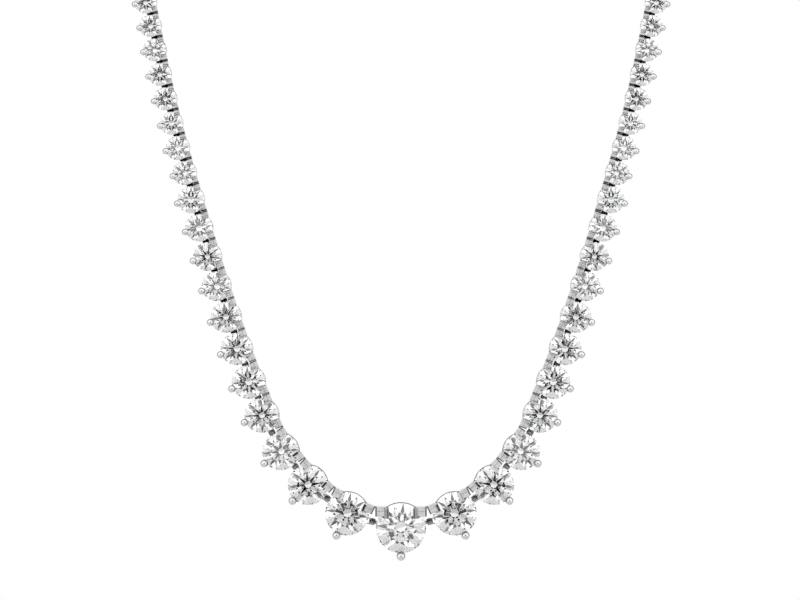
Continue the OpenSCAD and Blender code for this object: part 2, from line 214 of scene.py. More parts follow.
@dataclass
class Shell:
    """Closed surfaces: their points, their faces as rows of four and of three corners, and each
    point's painted shade, from 0 to 1, which darkens the metal's colour."""

    points: Array
    quads: Array
    tris: Array
    # Painted shade of each point, from 0 to 1: shade painted into the metal's colour
    recess: Array | float = 0.0

    def __post_init__(self) -> None:
        """Gives each point its own painted shade."""
        self.recess = self.recess + np.zeros(len(self.points))

    def turned(self) -> "Shell":
        """The shell with each face run the other way round."""
        return replace(self, quads=self.quads[:, ::-1], tris=self.tris[:, ::-1])

    def with_painted_shade(self, mask: Change) -> "Shell":
        """The shell with each point's painted shade raised to what a function of its place gives."""
        return replace(self, recess=np.maximum(self.recess, mask(self.points)))

    def changed(self, change: Change) -> "Shell":
        """The shell with its points passed through a function."""
        return replace(self, points=change(self.points))

    def mirrored(self) -> "Shell":
        """The shell mirrored in x, its faces still pointing out."""
        return replace(self, points=self.points * FLIP_X).turned()

    def outward(self) -> "Shell":
        """The shell with its faces pointing out, judged by the sign of the volume it holds.

        Returns:
            The shell, or its turned copy.
        """
        rows = np.concatenate([self.quads[:, [0, 1, 2]], self.quads[:, [0, 2, 3]], self.tris])
        a, b, c = (self.points[rows[:, k]] for k in range(3))
        return self if np.einsum("ij,ij->i", a, np.cross(b, c)).sum() > 0 else self.turned()

    def normals(self) -> Array:
        """Each point's normal: the sum of its larger faces' normals by area, so that flats stay flat.

        Returns:
            Normals of length one.
        """
        p, q, t = self.points, self.quads, self.tris
        faces = ((q, np.cross(p[q[:, 2]] - p[q[:, 0]], p[q[:, 3]] - p[q[:, 1]])),
                 (t, np.cross(p[t[:, 1]] - p[t[:, 0]], p[t[:, 2]] - p[t[:, 0]])))
        largest, total = np.zeros(len(p)), np.zeros_like(p)
        for rows, area in faces:
            for corner in rows.T:
                np.maximum.at(largest, corner, np.linalg.norm(area, axis=1))
        for rows, area in faces:
            for corner in rows.T:
                counts = np.linalg.norm(area, axis=1) >= LARGE_FACE * largest[corner]
                np.add.at(total, corner, area * counts[:, None])
        return total / np.maximum(np.linalg.norm(total, axis=1, keepdims=True), TINY)

    def mesh(self, name: str, material: bpy.types.Material) -> bpy.types.Mesh:
        """The shell as a mesh in metres.

        Args:
            name: The mesh's name.
            material: Its material.

        Returns:
            The mesh.
        """
        mesh = bpy.data.meshes.new(name)
        mesh.from_pydata((self.points * MM).tolist(), [], self.quads.tolist() + self.tris.tolist())
        mesh.materials.append(material)
        return mesh

    @staticmethod
    def joined(shells: list["Shell"]) -> "Shell":
        """Several shells in one, their corners renumbered.

        Args:
            shells: The shells.

        Returns:
            One shell that holds them all.
        """
        starts = np.cumsum([0] + [len(s.points) for s in shells[:-1]])
        return Shell(np.concatenate([s.points for s in shells]),
                     np.concatenate([s.quads + k for s, k in zip(shells, starts)]),
                     np.concatenate([s.tris + k for s, k in zip(shells, starts)]),
                     np.concatenate([s.recess for s in shells]))


def leaned(slope: float, start: float, above: float, axis: int = 1) -> Change:
    """A change that slopes a bar's front: points above a height sink by a slope from a start on.

    Args:
        slope: Fall for each unit along the axis.
        start: Where along the axis the fall is none.
        above: Height from which points sink.
        axis: The axis, 0 for x and 1 for y.

    Returns:
        The change of points.
    """
    def change(p: Array) -> Array:
        """Sinks the front's points."""
        return p - AXIS_Z * (slope * (p[:, axis] - start) * (p[:, 2] > above))[:, None]

    return change


def loft(rings: Array, closed: bool = False, tips: Array | None = None) -> Shell:
    """A closed shell over a grid of points.

    Quad (k, j) joins points j and j + 1 of ring k to those of ring k + 1. A closed loft joins its
    last ring to its first, and an open one ends in fans to one tip at each end.

    Args:
        rings: Points by ring and by place round the ring.
        closed: Whether the rings run round in a loop.
        tips: The two tips; the middles of the end rings without it.

    Returns:
        The shell, its faces pointing out.
    """
    m, n = rings.shape[:2]
    k = np.arange(m if closed else m - 1)[:, None] * n
    above = (k + n) % (m * n)
    j = np.arange(n)[None, :]
    after = (j + 1) % n
    quads = np.stack([k + j, k + after, above + after, above + j], -1).reshape(-1, 4)
    points = rings.reshape(-1, 3)
    tris = np.zeros((0, 3), int)
    if not closed:
        j, after = j[0], after[0]
        last = (m - 1) * n
        ends = np.stack([rings[0].mean(0), rings[-1].mean(0)]) if tips is None else tips
        points = np.concatenate([points, ends])
        low = np.stack([after, j, np.full(n, m * n)], -1)
        high = np.stack([last + j, last + after, np.full(n, m * n + 1)], -1)
        tris = np.concatenate([low, high])
    return Shell(points, quads, tris).outward()


def rounded(width: float, height: float, corner: float, steps: int, groove: float = 0.0) -> Array:
    """Profile of a rectangle whose corners are quarter circles of the given radius.

    Args:
        width: Size along the profile's first coordinate.
        height: Size along its second.
        corner: Radius of the corners.
        steps: Straight steps that a corner is made of.
        groove: Depth of a V cut along the middle of the upper side.

    Returns:
        The profile's points, counter-clockwise.
    """
    turn = np.radians(90) * (np.arange(4)[:, None] + np.linspace(0, 1, steps + 1))
    middles = np.array([[1, 1], [-1, 1], [-1, -1], [1, -1]]) * (np.array([width, height]) / 2 - corner)
    points = (middles[:, None] + corner * np.stack([np.cos(turn), np.sin(turn)], -1)).reshape(-1, 2)
    if groove:
        top = height / 2
        cut = np.array([[groove, top], [0, top - groove], [-groove, top]])
        points = np.concatenate([points[:steps + 1], cut, points[steps + 1:]])
    return points


def turned(profile: Array, n: int, start: float = 0.0, stop: float = 360.0) -> Array:
    """Rings of a profile of radius and height, turned about the z axis in n steps of angle.

    Args:
        profile: Rows of radius and height.
        n: Number of rings.
        start: First angle in degrees.
        stop: Last angle in degrees, left out where it closes the circle.

    Returns:
        The rings.
    """
    a = np.radians(np.linspace(start, stop, n, endpoint=stop - start < 360))[:, None]
    r, z = profile[None, :, 0], profile[None, :, 1]
    return np.stack([r * np.cos(a), r * np.sin(a), z + 0 * a], -1)


def circle(r: float, n: int) -> Array:
    """Profile of n points at even steps round a circle."""
    return turned(np.array([[r, 0.0]]), n)[:, 0, :2]


def carried(profile: Array, path: Array, across: Array, scale: Array) -> Array:
    """Rings of a profile carried along a path.

    The profile's first coordinate runs along the part of "across" that is square to the path,
    and its second square to both.

    Args:
        profile: The profile's points.
        path: Points of the path.
        across: Direction of the profile's first coordinate.
        scale: Size of the profile at each point of the path.

    Returns:
        The rings.
    """
    ahead = unit(np.gradient(path, axis=0))
    side = unit(across - (ahead @ across)[:, None] * ahead)
    up = np.cross(ahead, side)
    flat = profile[None] * scale[:, None, None]
    return path[:, None] + flat[..., :1] * side[:, None] + flat[..., 1:] * up[:, None]


def rod(profile: Array, a: Array, b: Array, across: Array, soft: float, middles: int = 0) -> Shell:
    """A straight bar of a profile between two points, its end edges softened.

    Args:
        profile: The bar's profile.
        a: Start point.
        b: End point.
        across: Direction of the profile's first coordinate.
        soft: Width of the softened end edges.
        middles: Extra rings between the ends.

    Returns:
        The bar.
    """
    edge = soft / np.linalg.norm(b - a)
    t = np.concatenate([[0, edge], np.linspace(edge, 1 - edge, middles + 2)[1:-1], [1 - edge, 1]])
    scale = np.ones(len(t))
    scale[[0, -1]] = 1 - soft / np.abs(profile).max()
    return loft(carried(profile, a + t[:, None] * (b - a), across, scale))


def bar(profile: Array, ends: Span, y: float, z: float, soft: float, middles: int) -> Shell:
    """A rod along x, its profile's first coordinate along y.

    Args:
        profile: The bar's profile.
        ends: Its first and last x.
        y: Where it lies in y.
        z: Where it lies in z.
        soft: Width of the softened end edges.
        middles: Extra rings between the ends.

    Returns:
        The bar.
    """
    a, b = (np.array([x, y, z]) for x in ends)
    return rod(profile, a, b, AXIS_Y, soft, middles)


def ball(centre: Array, r: float, n: int) -> Shell:
    """A ball: circles at even steps of latitude, with a tip at each pole.

    Args:
        centre: Middle of the ball.
        r: Its radius.
        n: Points round each circle.

    Returns:
        The ball.
    """
    low = np.radians(np.linspace(-90, 90, n // 2 + 1))[1:-1, None]
    flat = circle(1.0, n)[None] * np.cos(low)[..., None]
    rings = np.concatenate([flat, np.broadcast_to(np.sin(low)[..., None], (len(low), n, 1))], -1)
    return loft(centre + rings * r, tips=centre + np.stack([-AXIS_Z, AXIS_Z]) * r)


@dataclass(frozen=True)
class Brilliant:
    """Round brilliant of 57 facets, its heights as shares of the girdle's diameter."""

    table: float = 0.56
    crown: float = 0.155
    pavilion: float = 0.43
    girdle: float = 0.03
    low: float = 0.24
    mains: int = 8

    @property
    def crown_slope(self) -> float:
        """Rise of the crown for each unit inwards."""
        return self.crown / (0.5 - self.table / 2)

    @property
    def pavilion_slope(self) -> float:
        """Fall of the pavilion for each unit inwards."""
        return 2 * self.pavilion

    def ring(self, n: int, r: float, turn: float, z: float) -> Array:
        """A ring of n points at a radius and a height, its first point turned by some degrees."""
        a = np.radians(turn + 360 / n * np.arange(n))
        return np.stack([r * np.cos(a), r * np.sin(a), np.full(n, z)], -1)

    @staticmethod
    def edge(tips: Array, corners: Array, steps: int) -> Array:
        """An edge of the girdle: the circle through the corners, at the heights of the facets' planes.

        A facet's plane holds its tip and two neighbouring corners, and two facets share a tip.

        Args:
            tips: The facets' other corners.
            corners: Corners on the girdle.
            steps: Steps of the circle from corner to corner.

        Returns:
            Points round the edge, the corners among them.
        """
        a, b = np.repeat(tips, 2, axis=0), np.roll(corners, -1, axis=0)
        normal = np.cross(corners - a, b - a)
        turn = 2 * math.pi / len(corners) * (np.arange(len(corners))[:, None] + np.arange(steps) / steps)
        flat = math.hypot(*corners[0, :2]) * np.stack([np.cos(turn), np.sin(turn)], -1)
        fall = ((flat - a[:, None, :2]) * normal[:, None, :2]).sum(-1) / normal[:, None, 2]
        return np.concatenate([flat, (a[:, None, 2] - fall)[..., None]], -1).reshape(-1, 3)

    def cut(self, d: float, steps: int) -> Shell:
        """The stone's facets.

        Rings of points at the table, the kites' lower corners, both edges of the girdle and the
        lower corners of the pavilion's halves, joined by stars, kites, halves and mains.

        Args:
            d: Girdle diameter.
            steps: Steps of the girdle along each half.

        Returns:
            The stone, its face along z.
        """
        m, n, r = self.mains, 2 * self.mains * steps, d / 2
        half, edge = 180 / m, self.girdle * d / 2
        kite_r, low_r = r * (1 + self.table) / 2, r * self.low
        reach = math.cos(math.radians(half))
        kites = self.ring(m, kite_r, half, edge + (r - kite_r * reach) * self.crown_slope)
        lows = self.ring(m, low_r, half, -edge - (r - low_r * reach) * self.pavilion_slope)
        points = np.concatenate([
            self.ring(m, r * self.table, 0, edge + self.crown * d), kites,
            self.edge(kites, self.ring(2 * m, r, 0, edge), steps),
            self.edge(lows, self.ring(2 * m, r, 0, -edge), steps), lows,
            [[0, 0, -edge - r * self.pavilion_slope], [0, 0, edge + self.crown * d]],
        ])
        k, j = np.arange(m), np.arange(n)
        kite, upper, lower, low = m, 2 * m, 2 * m + n, 2 * m + 2 * n
        culet, middle = low + m, low + m + 1
        after, last, main = (k + 1) % m, (k - 1) % m, 2 * steps * k
        beyond, half_of = (j + 1) % n, j // (2 * steps)
        tris = [
            (middle + 0 * k, k, after), (after, k, kite + k),
            (kite + half_of, upper + j, upper + beyond), (low + half_of, lower + beyond, lower + j),
        ]
        quads = [
            (k, kite + last, upper + main, kite + k), (culet + 0 * k, low + k, lower + main, low + last),
            (upper + beyond, upper + j, lower + j, lower + beyond),
        ]
        quads, tris = (np.concatenate([np.stack(rows, -1) for rows in kind]) for kind in (quads, tris))
        return Shell(points, quads, tris).outward()


@dataclass(frozen=True)
class Linkwork:
    """The pins, eyes and forks that hook one link into the next."""

    depth: float = 1.15
    pin_r: float = 0.19
    pin_out: float = 0.03
    pin_soft: float = 0.05
    pin_sides: int = 14
    gap: float = 0.13
    run: float = 0.03
    solder: float = 0.05
    lift: float = 0.35
    lift_growth: float = 0.08
    lean: float = 0.07
    corner: float = 0.06
    eye_wall: float = 0.19
    eye_t: float = 0.44
    eye_corner: float = 0.05
    eye_sides: int = 24
    ear_t: float = 0.27
    ear_seen: float = 0.17
    ear_soft: float = 0.07
    ear_rings: int = 7
    neck_step: float = 0.03
    neck_share: float = 0.8
    neck_soft: float = 0.04
    neck_rings: int = 5

    @property
    def eye_r(self) -> float:
        """Outer radius of an eye."""
        return self.pin_r + self.gap + self.eye_wall

    @property
    def ear_r(self) -> float:
        """Half of a fork's height, and its reach beyond the pin."""
        return self.eye_r - self.solder

    @property
    def fork_t(self) -> float:
        """Width of a fork along its pin."""
        return self.eye_t + 2 * self.gap + 2 * self.ear_t

    def tongue(self, pin: Frame, reach: float, steps: int) -> list[Shell]:
        """A flat tongue from x = -reach, ending in an eye round the pin: a turned square ring.

        Tongue and eye fill the fork up to the running gap.

        Args:
            pin: Frame of the pin, y along it.
            reach: Length of the tongue.
            steps: Straight steps of each corner.

        Returns:
            The tongue and its eye, in the necklace's coordinates.
        """
        thick = self.eye_t + 2 * (self.gap - self.run)
        inner = self.pin_r + self.gap
        neck = rounded(thick - 2 * self.neck_step, 2 * self.ear_r * self.neck_share, self.corner, steps)
        neck = bar(neck, (-reach, -inner - self.eye_wall / 3), 0, 0, self.neck_soft, self.neck_rings)
        wall = rounded(self.eye_wall, thick, self.eye_corner, steps) + [inner + self.eye_wall / 2, 0]
        eye = loft(turned(wall, self.eye_sides), closed=True).changed(lambda p: p[:, [0, 2, 1]]).turned()
        return [s.changed(pin.world) for s in (neck.changed(leaned(self.lean, -thick / 2, 0.0)), eye)]

    def fork(self, pin: Frame, reach: float, steps: int) -> list[Shell]:
        """Two ears from beyond the pin to x = reach, and the pin between them, with softened ends.

        Args:
            pin: Frame of the pin, y along it.
            reach: Length of the ears.
            steps: Straight steps of each corner.

        Returns:
            The fork's pieces, in the necklace's coordinates.
        """
        ear = rounded(self.ear_seen, 2 * self.ear_r, self.corner, steps)
        out = (self.fork_t + self.ear_seen) / 2 - self.ear_t
        made = [bar(ear, (-self.ear_r, reach), y, 0, self.ear_soft, self.ear_rings)
                .changed(leaned(self.lean, y - self.ear_seen / 2, 0.0)) for y in (-out, out)]
        half = AXIS_Y * (out + self.ear_seen / 2 + self.pin_out)
        made.append(rod(circle(self.pin_r, self.pin_sides), -half, half, AXIS_X, self.pin_soft))
        return [s.changed(pin.world) for s in made]


@dataclass(frozen=True)
class Setting:
    """Three-prong setting: a basket, two inner prongs with lug blocks, a beaded outer prong and a rim."""

    cut: Brilliant
    links: Linkwork
    small_d: float
    seat: float = 0.14
    small_span: Span = (5.4, 7.0)
    front_span: Span = (5.6, 5.9)
    centre_span: Span = (7.2, 7.8)
    shaft_share: float = 0.62
    shaft_slim: float = 0.8
    shaft_out: float = 0.6
    shaft_taper: float = 0.1
    shaft_rings: int = 6
    shaft_in: float = 0.08
    inner_a: float = 50.0
    outer_a: float = -90.0
    bead_base: float = 0.35
    bead_share: float = 0.05
    bead_fit: float = 0.99
    bead_out: float = 0.11
    bead_up: float = 0.5
    bead_sides: int = 4
    # Painted shade on the bead: a little all over, and a crescent on the stone's side
    bead_painted_shade: float = 0.12
    crescent: float = 0.6
    crescent_less: float = 0.45
    crescent_span: Span = (0.2, 0.9)
    lug_share: float = 0.21
    lug_top: float = 0.44
    lug_more: float = 0.14
    lug_x: float = 0.29
    lug_rise: float = 0.1
    lug_round: float = 0.05
    lug_corner: float = 0.03
    lug_rings: int = 9
    slit: float = 0.03
    groove: float = 0.07
    # Painted shade in a large lug's groove, full at the dot where it starts
    line_dark: float = 0.5
    dot_in: float = 0.07
    dot_r: float = 0.12
    # Painted shade in spots along a lug's side by the stone
    spot_dark: float = 0.6
    spot_run: float = 0.6
    end_edge: float = 0.08
    # Painted shadow at a lug's end by the slit, beyond its softened edge: on small links, and on the
    # front's links
    end_dark: float = 0.13
    front_dark: float = 0.06
    claw_x: float = 0.24
    claw_w: float = 0.1
    claw_rise: float = 0.18
    claw_step: float = 0.04
    claw_round: float = 0.09
    claw_soft: float = 0.05
    claw_rings: int = 2
    claw_lean: float = 0.13
    soft_lean: float = 0.05
    # Painted shade on a claw's top over the crown
    centre_dark: float = 0.5
    side_dark: float = 0.15
    rim_t: float = 0.2
    rim_out: float = 0.12
    rim_h: float = 0.08
    rim_corner: float = 0.03
    rim_lap: float = 6.0
    rim_rings: int = 16
    gallery_w: float = 0.4
    gallery_h: float = 0.4
    gallery_corner: float = 0.1
    base_r: float = 0.11
    base_w: float = 0.1
    base_round: float = 0.25
    basket: float = 0.52
    cup_soft: float = 0.06

    def bead_r(self, d: float) -> float:
        """Radius of the outer prong's bead."""
        return self.bead_base + self.bead_share * d

    def gallery_r(self, d: float) -> float:
        """Inner radius of the gallery ring, a seat's gap from the pavilion.

        Args:
            d: Girdle diameter.

        Returns:
            The radius.
        """
        slope = self.cut.pavilion_slope
        depth = self.links.depth - self.cut.girdle * d / 2
        return d / 2 - depth / slope + self.seat / math.sin(math.atan(slope))

    def rim_top(self, d: float) -> float:
        """Height of the rim wire's top, a seat's gap from the pavilion.

        Args:
            d: Girdle diameter.

        Returns:
            The height.
        """
        slope = self.cut.pavilion_slope
        fall = (self.rim_t - self.rim_out) * slope + self.seat * math.hypot(1, slope)
        return -self.cut.girdle * d / 2 - fall

    def small(self, d: float) -> float:
        """How far a link counts as a small one, from 0 for the front's largest to 1."""
        return float(1 - rise(d, *self.small_span))

    def lug_span(self, d: float) -> Span:
        """A lug's lower and upper side, in y; on small links it reaches nearly to the rim wire's edge."""
        return (self.lug_top - self.lug_share) * d, self.lug_top * d + self.lug_more * self.small(d)

    def lug_low(self, d: float) -> float:
        """Height of the lugs' underside, at the rim wire's middle."""
        return self.rim_top(d) - self.rim_h * d / 2

    def clear_of_stone(self, d: float, lift: bool) -> Change:
        """A change that moves metal out of the stone's room, which is its outline grown by the seat's gap.

        The room's top falls from the table as the crown does and its bottom rises as the pavilion
        does. A point inside goes straight up to the top if it may be lifted and lies above the
        girdle, and otherwise straight out to where the room ends at its height.

        Args:
            d: Girdle diameter.
            lift: Whether metal may lap over the crown.

        Returns:
            The change of points in the link's frame.
        """
        r, edge = d / 2, self.cut.girdle * d / 2
        up, down = self.cut.crown_slope, self.cut.pavilion_slope
        over, under = self.seat * math.hypot(1, up), self.seat * math.hypot(1, down)
        table_z = edge + self.cut.crown * d + self.seat

        def change(p: Array) -> Array:
            """Moves each point that lies in the stone's room."""
            x, y, z = p.T
            rho = np.maximum(np.hypot(x, y), TINY)
            top = np.minimum(edge + over + (r - rho) * up, table_z)
            bottom = -edge - under - (r - rho) * down
            inside = (rho < r + self.seat) & (z < top) & (z > bottom)
            raised = inside & (z > 0) & lift
            out_r = np.where(z > 0, r - (z - edge - over) / up, r + (z + edge + under) / down)
            out_r = np.clip(out_r, rho, r + self.seat)
            out = np.where(inside & ~raised, out_r / rho, 1.0)
            return np.stack([x * out, y * out, np.where(raised, top, z)], -1)

        return change

    def prong(self, d: float, angle: float, grade: Grade) -> Shell:
        """A round prong from the base ring, or from the cup's rim, straight up to the girdle.

        Args:
            d: Girdle diameter.
            angle: Direction of the prong round the stone, in degrees.
            grade: How finely it is made.

        Returns:
            The prong, a little thinner at its top.
        """
        r = self.shaft_share * self.bead_r(d)
        if grade is Grade.LARGE:
            low = np.array([(self.base_r + self.base_w / 2) * d, -self.basket * d + r])
        else:
            low = np.array([self.gallery_r(d) + self.gallery_w / 2, -self.links.depth])
            r *= self.shaft_slim
        t = np.linspace(0, 1, self.shaft_rings)[:, None]
        flat = low + t * (np.array([d / 2 + self.shaft_out * r, 0.0]) - low)
        out = np.array([math.cos(math.radians(angle)), math.sin(math.radians(angle)), 0])
        path = flat[:, :1] * out + flat[:, 1:] * AXIS_Z
        rings = carried(circle(r, grade.sides), path, np.cross(out, AXIS_Z), 1 - self.shaft_taper * t[:, 0])
        return loft(rings).changed(self.clear_of_stone(d, False))

    def bead(self, d: float, grade: Grade) -> Shell:
        """The outer prong's round bead, which laps over the girdle, with painted shade on it, darkest on
        the stone's side.

        Args:
            d: Girdle diameter.
            grade: How finely it is made.

        Returns:
            The bead.
        """
        r = self.bead_r(d)
        middle = np.array([0, -d / 2 - self.bead_out * (d - self.small_d), self.bead_up * r])
        made = ball(middle, self.bead_fit * r, grade.sides + self.bead_sides)
        dark = self.crescent - self.crescent_less * self.small(d)
        low, high = (share * r for share in self.crescent_span)
        # Painted shade: a little over the whole bead, more in a crescent towards the stone
        made = made.with_painted_shade(lambda p: self.bead_painted_shade + dark * rise(p[:, 1] - middle[1], low, high))
        return made.changed(self.clear_of_stone(d, True))

    def lug(self, d: float, chord: float, grade: Grade) -> Shell:
        """An inner prong's lug: a soft-edged block out to the slit, engraved along its face if large.

        Args:
            d: Girdle diameter.
            chord: Distance between the link's pins.
            grade: How finely it is made.

        Returns:
            The block.
        """
        (low, high), height = self.lug_span(d), self.lug_rise * d - self.lug_low(d)
        width, y, z = high - low, (low + high) / 2, self.lug_rise * d - height / 2
        groove = self.groove if grade is Grade.LARGE else 0.0
        end = (chord - self.slit) / 2
        block = rounded(width, height, self.lug_round * width + self.lug_corner, grade.steps, groove)
        block = bar(block, (self.lug_x * d, end), y, z, self.end_edge, self.lug_rings)
        front = float(rise(d, *self.front_span))
        # Painted shadow at the lug's end by the slit: its softened edge and a little more
        dark = TOUCH * self.end_edge + (self.end_dark if grade is Grade.SMALL else self.front_dark * front)

        def groove_shade(p: Array) -> Array:
            """Painted shade in the groove's line, full at the dot that it starts from."""
            dot = np.abs(p[:, 0] - end + self.dot_in * d) < self.dot_r
            return np.where(dot, 1.0, self.line_dark) * (np.abs(p[:, 1] - y) < groove / 2)

        def spotted(p: Array) -> Array:
            """Painted shade in spots along the side by the stone on all but the front's links: a sine of x,
            from 0 up.
            """
            wave = np.clip(np.sin(2 * math.pi * p[:, 0] / self.spot_run), 0, 1)
            return self.spot_dark * (1 - front) * wave * (p[:, 1] < y - self.groove)

        # Painted shadow at the end, painted shade in the groove and painted shade spots by the stone
        block = block.with_painted_shade(lambda p: 1.0 * (p[:, 0] > end - dark)).with_painted_shade(groove_shade).with_painted_shade(spotted)
        return block.changed(leaned(self.links.lean, low, z)).changed(self.clear_of_stone(d, False))

    def claw(self, d: float, grade: Grade) -> Shell:
        """The claw at a lug's inner end: a block whose top slopes down over the crown, with painted shade
        on that top.

        Args:
            d: Girdle diameter.
            grade: How finely it is made.

        Returns:
            The claw.
        """
        width, height, above = self.lug_share * d, self.claw_rise * d - self.lug_low(d), self.lug_rise * d
        y, z = (self.lug_top - self.claw_step) * d - width / 2, self.claw_rise * d - height / 2
        start, stop = self.claw_x * d, (self.claw_x + self.claw_w) * d
        centre, front = rise(d, *self.centre_span), rise(d, *self.front_span)
        lean = self.claw_lean + (self.soft_lean - self.claw_lean) * (centre + 1 - front)
        dark = self.centre_dark * centre + self.side_dark * (1 - front)
        block = rounded(width, height, self.claw_round * width, grade.steps)
        block = bar(block, (start, stop), y, z, self.claw_soft, self.claw_rings)
        # Painted shade on the claw's top
        block = block.with_painted_shade(lambda p: dark * (p[:, 2] > above)).changed(leaned(-lean, stop, above, 0))
        return block.changed(self.clear_of_stone(d, True))

    def rim(self, d: float, grade: Grade) -> Shell:
        """The rim wire: a rounded profile turned round the stone's inner edge from lug to lug.

        Args:
            d: Girdle diameter.
            grade: How finely it is made.

        Returns:
            The wire.
        """
        start = self.inner_a - self.rim_lap
        wire = rounded(self.rim_t, self.rim_h * d, self.rim_corner, grade.steps)
        wire[:, 1] -= self.links.lean * (wire[:, 0] + self.rim_t / 2) * (wire[:, 1] > 0)
        place = [d / 2 + self.rim_out - self.rim_t / 2, self.lug_low(d)]
        return loft(turned(wire + place, self.rim_rings, start, 180 - start))

    def rings(self, d: float, grade: Grade) -> list[Shell]:
        """The basket's rings: a base ring and a gallery ring, or on small links one tapered cup.

        Args:
            d: Girdle diameter.
            grade: How finely they are made.

        Returns:
            The turned rings.
        """
        r, low, top = self.gallery_r(d), -self.basket * d, -self.links.depth
        if grade is Grade.LARGE:
            wire = self.base_w * d
            base = rounded(wire, wire, self.base_round * wire, grade.steps)
            gallery = rounded(self.gallery_w, self.gallery_h, self.gallery_corner, grade.steps)
            profiles = [base + [self.base_r * d + wire / 2, low + wire / 2],
                        gallery + [r + self.gallery_w / 2, top - self.gallery_h / 2]]
        else:
            foot, outer, soft = (self.base_r + self.base_w) * d, r + self.gallery_w, self.cup_soft
            profiles = [np.array([
                [self.base_r * d / 2, low], [foot - soft, low], [foot, low + soft],
                [outer, top - soft], [outer - soft, top], [r + soft, top], [r, top - soft],
            ])]
        return [loft(turned(p, grade.ring_sides), closed=True) for p in profiles]

    def made(self, d: float, chord: float, grade: Grade) -> Shell:
        """All of a setting's metal in the link's frame, apart from its tongue and fork.

        Args:
            d: Girdle diameter.
            chord: Distance between the link's pins.
            grade: How finely it is made.

        Returns:
            The setting.
        """
        flush = np.array([np.inf, self.lug_span(d)[1] - self.shaft_in, np.inf])
        inner = self.prong(d, self.inner_a, grade).changed(lambda p: np.minimum(p, flush))
        one_side = [inner, self.lug(d, chord, grade)]
        whole = [self.prong(d, self.outer_a, grade), self.bead(d, grade)] + self.rings(d, grade)
        if grade is not Grade.HIDDEN:
            one_side.append(self.claw(d, grade))
            whole.append(self.rim(d, grade))
        return Shell.joined(one_side + [s.mirrored() for s in one_side] + whole)


@dataclass(frozen=True)
class JointPaintedShade:
    """Painted shade on the metal between two links, from 0 to 1.

    Depths lie behind the girdles, "near" is a share of the way to the pins, and "basket" and
    "bars" are distances beyond the pins.
    """

    front: Span = (0.2, 0.45)
    back: Span = (1.3, 1.6)
    near: Span = (0.5, 0.7)
    upper: Span = (0.34, 0.4)
    basket: Span = (-0.7, -0.45)
    basket_dark: float = 0.55
    bars: Span = (-1.2, -1.0)
    bars_dark: float = 0.4
    large: Span = (5.0, 6.0)

    def mask(self, f: Frame, lift: float, d: float) -> Change:
        """The painted shade on a link's metal, between a depth in front and one at the back.

        On a small link all of it towards the pins is dark. On a large one the side above the pins
        is dark, and the rest takes one lesser tone by the basket and another out to the pins.

        Args:
            f: Frame of the link.
            lift: Height of its pins.
            d: Girdle diameter.

        Returns:
            The function from points to their painted shade.
        """
        half, share = f.chord / 2, rise(d, *self.large)

        def recess(p: Array) -> Array:
            """Painted shade at each point."""
            x, y, z = f.inside(p).T
            x = np.abs(x)
            depth = rise(-z, *self.front) * (1 - rise(-z, *self.back))
            small = depth * rise(x, self.near[0] * half, self.near[1] * half)
            bars = self.bars_dark * rise(x - half, *self.bars)
            bars = np.maximum(bars, self.basket_dark * (1 - rise(x - half, *self.basket)))
            large = depth * np.maximum(rise(y - lift, *self.upper), bars)
            return share * large + (1 - share) * small

        return recess


@dataclass(frozen=True)
class Clasp:
    """Plain box clasp with round ends."""

    length: float = 14.0
    width: float = 4.4
    thickness: float = 2.6
    edge: float = 0.3
    edge_share: float = 0.3
    seam: float = 0.12
    end_points: int = 17

    def box(self, box_l: float, depth: float) -> Shell:
        """The box: its outline, two half circles joined by straights, carried up its thickness.

        The outline is drawn in by a quarter circle's worth at both edges and by a V at mid height,
        where the lid closes.

        Args:
            box_l: Length of the box.
            depth: Depth of its middle behind the girdles.

        Returns:
            The box in the clasp's frame.
        """
        half, flat, n, soft = self.thickness / 2, (box_l - self.width) / 2, self.end_points, self.edge
        a = np.radians(np.concatenate([np.linspace(-90, 90, n), np.linspace(90, 270, n)]))
        lower = [(-half, soft), (-half + soft * self.edge_share, soft * self.edge_share), (-half + soft, 0)]
        seam = [(-self.seam, 0), (0, self.seam), (self.seam, 0)]
        z, inset = np.array(lower + seam + [(-z, inset) for z, inset in lower[::-1]]).T[..., None]
        reach = self.width / 2 - inset
        shift = np.repeat([flat, -flat], n)
        return loft(np.stack([shift + reach * np.cos(a), reach * np.sin(a), z - depth + 0 * a], -1))


